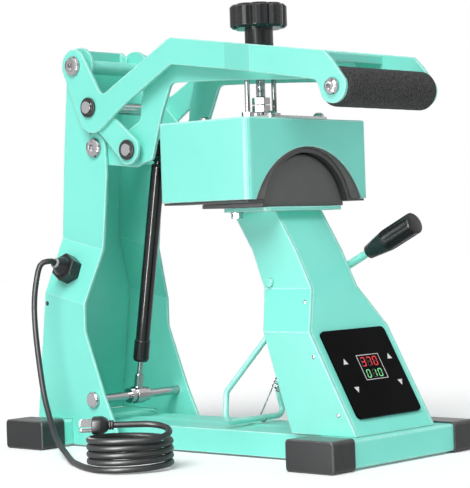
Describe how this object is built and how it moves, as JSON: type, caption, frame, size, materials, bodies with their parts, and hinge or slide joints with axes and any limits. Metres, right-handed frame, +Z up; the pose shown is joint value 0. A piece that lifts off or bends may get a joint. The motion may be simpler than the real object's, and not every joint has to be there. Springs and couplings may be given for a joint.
{
  "type": "cap heat press",
  "caption": "Clamshell heat press for caps: a toggle handle closes a curved heated head on a curved form, with gas spring, pressure knob, hold-down lever and control panel.",
  "frame": {"origin": "centre of the machine's footprint, at the floor", "axes": "+X is the machine's right seen from the front, -Y is the front with the handle, +Z is up"},
  "size_m": [0.3144, 0.447, 0.4451],
  "materials": {
    "mint_paint": "smooth mint paint, slightly textured",
    "cap_plastic": "matt black",
    "chrome": "bright plated",
    "steel": "plain steel",
    "form_metal": "cast and machined",
    "platen_metal": "dark coated",
    "pad_rubber": "smooth silicone rubber",
    "grip_foam": "soft foam",
    "insulation": "pressed fibre",
    "black_plastic": "moulded",
    "cord_rubber": "smooth",
    "black_paint": "satin black",
    "panel_gloss": "gloss black with a lit display",
    "board": "lacquered board"
  },
  "bodies": {
    "base": {"front_foot_tube": "mint_paint", "rear_foot_tube": "mint_paint", "foot_cap_front_left": "cap_plastic", "foot_cap_front_right": "cap_plastic", "foot_cap_rear_left": "cap_plastic", "foot_cap_rear_right": "cap_plastic", "base_beam": "mint_paint", "column_side_left": "mint_paint", "column_side_right": "mint_paint", "column_back": "mint_paint", "upper_spacer_tube": "mint_paint", "upper_pivot_bolt": "chrome", "lower_pivot_axle": "chrome", "lower_pivot_bolt": "chrome", "gas_cross_rod": "chrome", "pedestal_side_left": "mint_paint", "pedestal_side_right": "mint_paint", "pedestal_front": "mint_paint", "form_bracket": "mint_paint", "lower_form": "form_metal", "form_pad": "pad_rubber", "control_panel": "panel_gloss", "controller_board": "board", "spring_anchor": "steel", "bail_spring": "chrome", "cord_gland": "black_plastic", "cord_drop": "cord_rubber", "cord_coil": "cord_rubber", "cord_tail": "cord_rubber", "plug": "cord_rubber"},
    "head_arm": {"head_arm_left": "mint_paint", "head_arm_right": "mint_paint", "head_arm_web": "mint_paint", "link_axle": "chrome"},
    "heater": {"heater_housing": "mint_paint", "pressure_plate": "steel", "guide_rod_left": "chrome", "guide_rod_right": "chrome", "heater_platen": "platen_metal", "heating_element": "insulation"},
    "knob": {"pressure_knob": "black_plastic", "pressure_screw": "chrome"},
    "handle": {"handle_arm_left": "mint_paint", "handle_arm_right": "mint_paint", "handle_web": "mint_paint", "handle_pin": "chrome", "handle_tube": "steel", "foam_grip": "grip_foam", "handle_bolt": "chrome"},
    "link": {"link_left": "mint_paint", "link_right": "mint_paint", "link_pin_left": "chrome", "link_pin_right": "chrome"},
    "gas_rod": {"gas_rod": "chrome"},
    "gas_cylinder": {"gas_cylinder": "black_paint"},
    "lever": {"lever_rod": "chrome", "lever_grip": "black_plastic", "bail": "chrome"}
  },
  "joints": [
    {"name": "head_hinge", "type": "hinge", "parent": "base", "child": "head_arm", "pos_m": [0, 0.144, 0.313], "axis": [-1, 0, 0], "range_deg": [0, 23]},
    {"name": "handle_hinge", "type": "hinge", "parent": "base", "child": "handle", "pos_m": [0, 0.163, 0.4], "axis": [-1, 0, 0], "range_deg": [0, 61]},
    {"name": "link_hinge", "type": "hinge", "parent": "handle", "child": "link", "pos_m": [0, 0.141, 0.355], "axis": [1, 0, 0], "range_deg": [0, 91]},
    {"name": "gas_rod_hinge", "type": "hinge", "parent": "base", "child": "gas_rod", "pos_m": [0, 0.134, 0.05], "axis": [-1, 0, 0], "range_deg": [0, 1.5]},
    {"name": "gas_slide", "type": "slide", "parent": "gas_rod", "child": "gas_cylinder", "axis": [0, -0.1718, 0.9851], "range_m": [0, 0.022]},
    {"name": "pressure_slide", "type": "slide", "parent": "head_arm", "child": "heater", "axis": [0, 0, 1], "range_m": [0, 0.004]},
    {"name": "knob_turn", "type": "hinge", "parent": "heater", "child": "knob", "pos_m": [0, -0.055, 0.42], "axis": [0, 0, 1], "range_deg": [0, 722]},
    {"name": "lever_hinge", "type": "hinge", "parent": "base", "child": "lever", "pos_m": [0, -0.091, 0.17], "axis": [1, 0, 0], "range_deg": [0, 25], "stiffness_Nm_per_rad": 0.35, "springref_deg": -8.59, "deforming": ["bail_spring"]}
  ],
  "couplings": [
    {"joint": "handle_hinge", "follows": "head_hinge", "ratio": 2.6087},
    {"joint": "link_hinge", "follows": "head_hinge", "ratio": 3.9087},
    {"joint": "gas_rod_hinge", "follows": "head_hinge", "ratio": 0.0543},
    {"joint": "gas_slide", "follows": "head_hinge", "m_per_rad": 0.0528},
    {"joint": "knob_turn", "follows": "pressure_slide", "rad_per_m": 3141.6}
  ]
}
